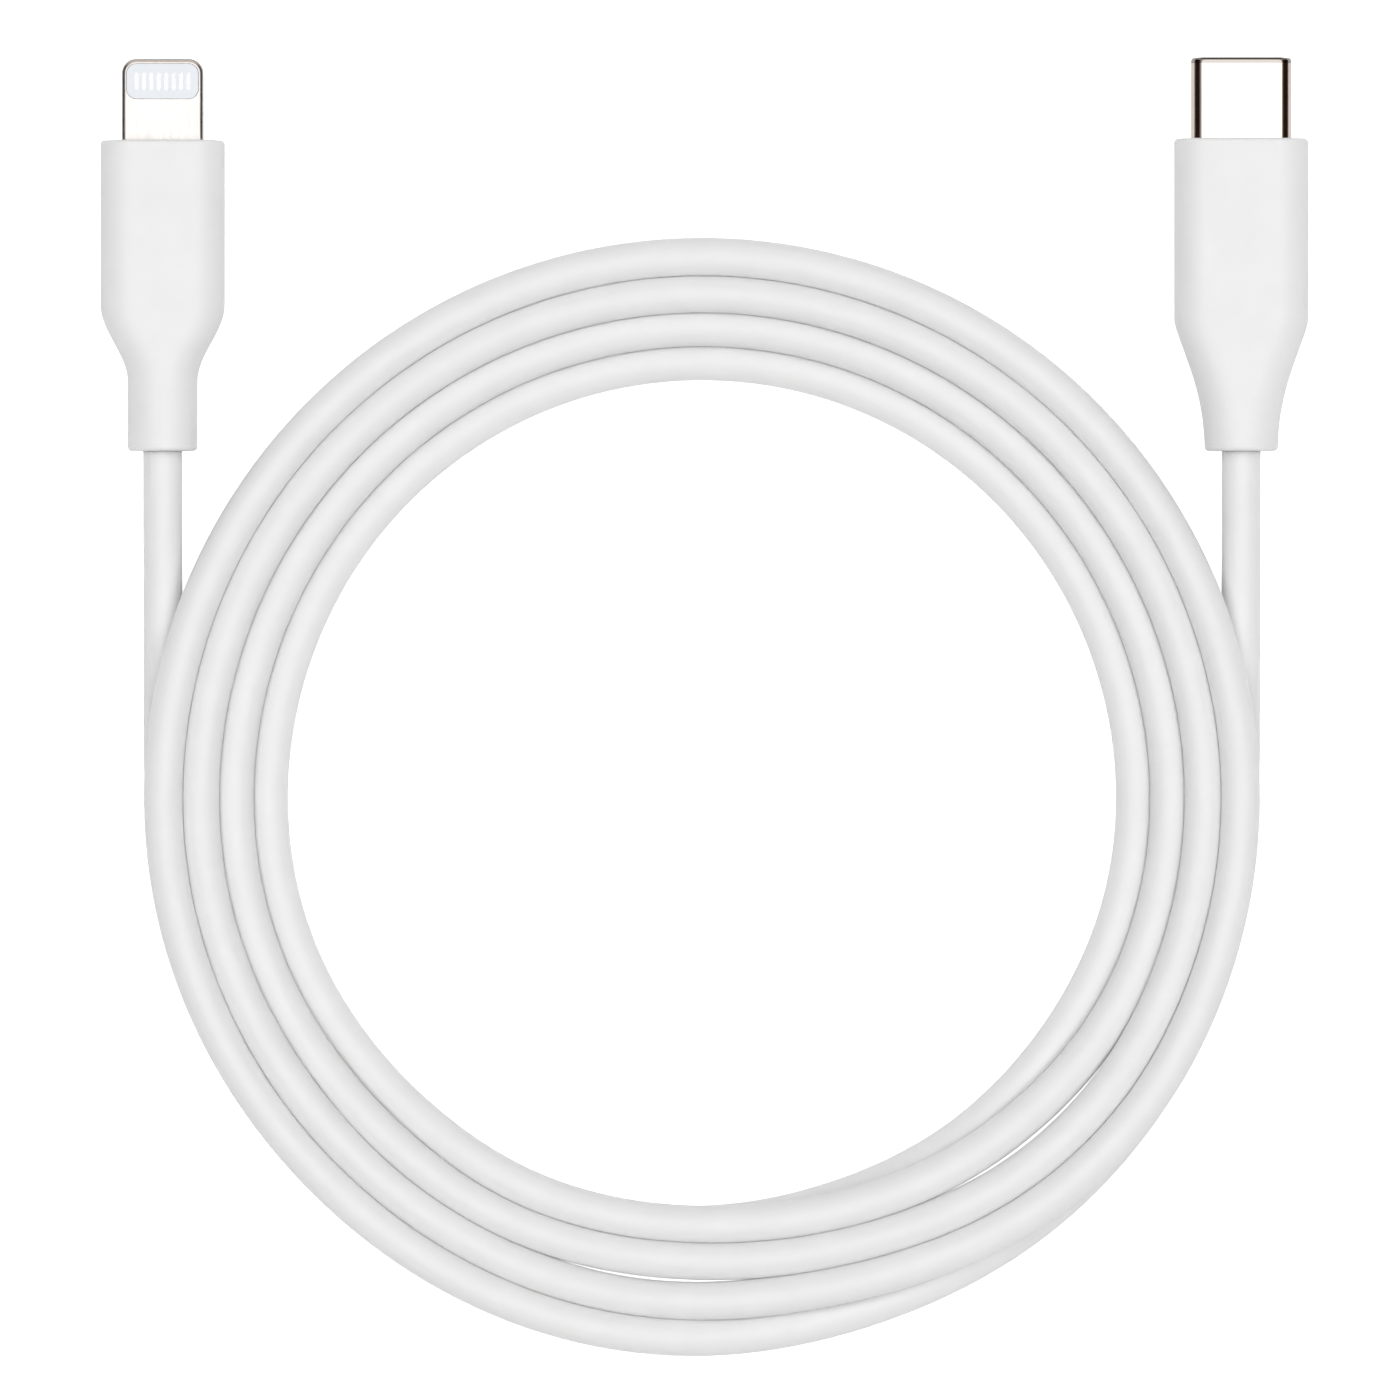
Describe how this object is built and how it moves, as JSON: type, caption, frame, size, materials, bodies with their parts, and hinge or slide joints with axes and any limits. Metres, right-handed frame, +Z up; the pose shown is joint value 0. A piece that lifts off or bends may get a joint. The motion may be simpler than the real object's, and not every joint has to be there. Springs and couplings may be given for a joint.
{
  "type": "charging cable",
  "caption": "Coiled round phone charging cable with a flat contact-blade plug at one end and an oval reversible shell plug at the other.",
  "frame": {"origin": "on the surface that the cable lies on, midway between the two plugs", "axes": "+Z up from the surface; +Y out of both plugs, away from the coil; +X from the phone plug towards the charger plug"},
  "size_m": [0.099, 0.1066, 0.0062],
  "materials": {
    "boot_white": "soft matte white moulding",
    "mould_white": "hard inner moulding",
    "jacket_white": "smooth soft white jacket",
    "braid_copper": "tinned copper braid",
    "nickel_steel": "nickel-plated sheet steel",
    "polished_steel": "polished stainless steel",
    "spring_steel": "stamped spring steel",
    "board_green": "solder-masked board",
    "component_tan": "ceramic components",
    "chip_black": "moulded chips",
    "solder": "solder",
    "wire_red": "insulation",
    "wire_black": "insulation",
    "wire_green": "insulation",
    "wire_white": "insulation",
    "window_white": "pale moulded insulator",
    "contact_plating": "pale precious-metal plating",
    "contact_gold": "gold plating",
    "liner_black": "black moulded insulator"
  },
  "bodies": {
    "cable": {"phone_blade_frame": "polished_steel", "phone_contacts_top": "contact_plating", "phone_contacts_bottom": "contact_plating", "phone_contact_block": "window_white", "phone_control_chips": "chip_black", "phone_circuit_board": "board_green", "phone_board_parts": "component_tan", "phone_shield_top": "nickel_steel", "phone_shield_bottom": "nickel_steel", "phone_inner_mould": "mould_white", "phone_boot": "boot_white", "phone_jacket_end": "jacket_white", "phone_braid_end": "braid_copper", "phone_crimp_ring": "nickel_steel", "phone_solder_joints": "solder", "phone_power_wire": "wire_red", "phone_data_plus_wire": "wire_green", "phone_ground_wire": "wire_black", "phone_data_minus_wire": "wire_white", "charger_shell": "polished_steel", "charger_liner": "liner_black", "charger_contact_tails_upper": "contact_gold", "charger_contact_tails_lower": "contact_gold", "charger_latch_anchors": "spring_steel", "charger_ground_spring_upper": "spring_steel", "charger_ground_spring_lower": "spring_steel", "charger_circuit_board": "board_green", "charger_board_parts": "component_tan", "charger_shield_top": "nickel_steel", "charger_shield_bottom": "nickel_steel", "charger_inner_mould": "mould_white", "charger_boot": "boot_white", "charger_jacket_end": "jacket_white", "charger_braid_end": "braid_copper", "charger_crimp_ring": "nickel_steel", "charger_solder_joints": "solder", "charger_power_wire": "wire_red", "charger_data_plus_wire": "wire_green", "charger_ground_wire": "wire_black", "charger_data_minus_wire": "wire_white", "cord_phone_lead": "jacket_white", "cord_charger_lead": "jacket_white", "cord_coil": "jacket_white"},
    "latch_left": {"charger_latch_left": "spring_steel"},
    "latch_right": {"charger_latch_right": "spring_steel"},
    "contact_row_upper": {"charger_springs_upper": "contact_gold"},
    "contact_row_lower": {"charger_springs_lower": "contact_gold"}
  },
  "joints": [
    {"name": "latch_left_flex", "type": "hinge", "parent": "cable", "child": "latch_left", "pos_m": [0.04066, 0.0102, 0.0031], "axis": [0, 0, 1], "range_deg": [0, 2.6], "stiffness_Nm_per_rad": 0.2},
    {"name": "latch_right_flex", "type": "hinge", "parent": "cable", "child": "latch_right", "pos_m": [0.04774, 0.0102, 0.0031], "axis": [0, 0, -1], "range_deg": [0, 2.6], "stiffness_Nm_per_rad": 0.2},
    {"name": "contact_row_upper_flex", "type": "hinge", "parent": "cable", "child": "contact_row_upper", "pos_m": [0.0442, 0.0104, 0.00373], "axis": [1, 0, 0], "range_deg": [0, 2.5], "stiffness_Nm_per_rad": 0.3},
    {"name": "contact_row_lower_flex", "type": "hinge", "parent": "cable", "child": "contact_row_lower", "pos_m": [0.0442, 0.0104, 0.00247], "axis": [-1, 0, 0], "range_deg": [0, 2.5], "stiffness_Nm_per_rad": 0.3}
  ]
}
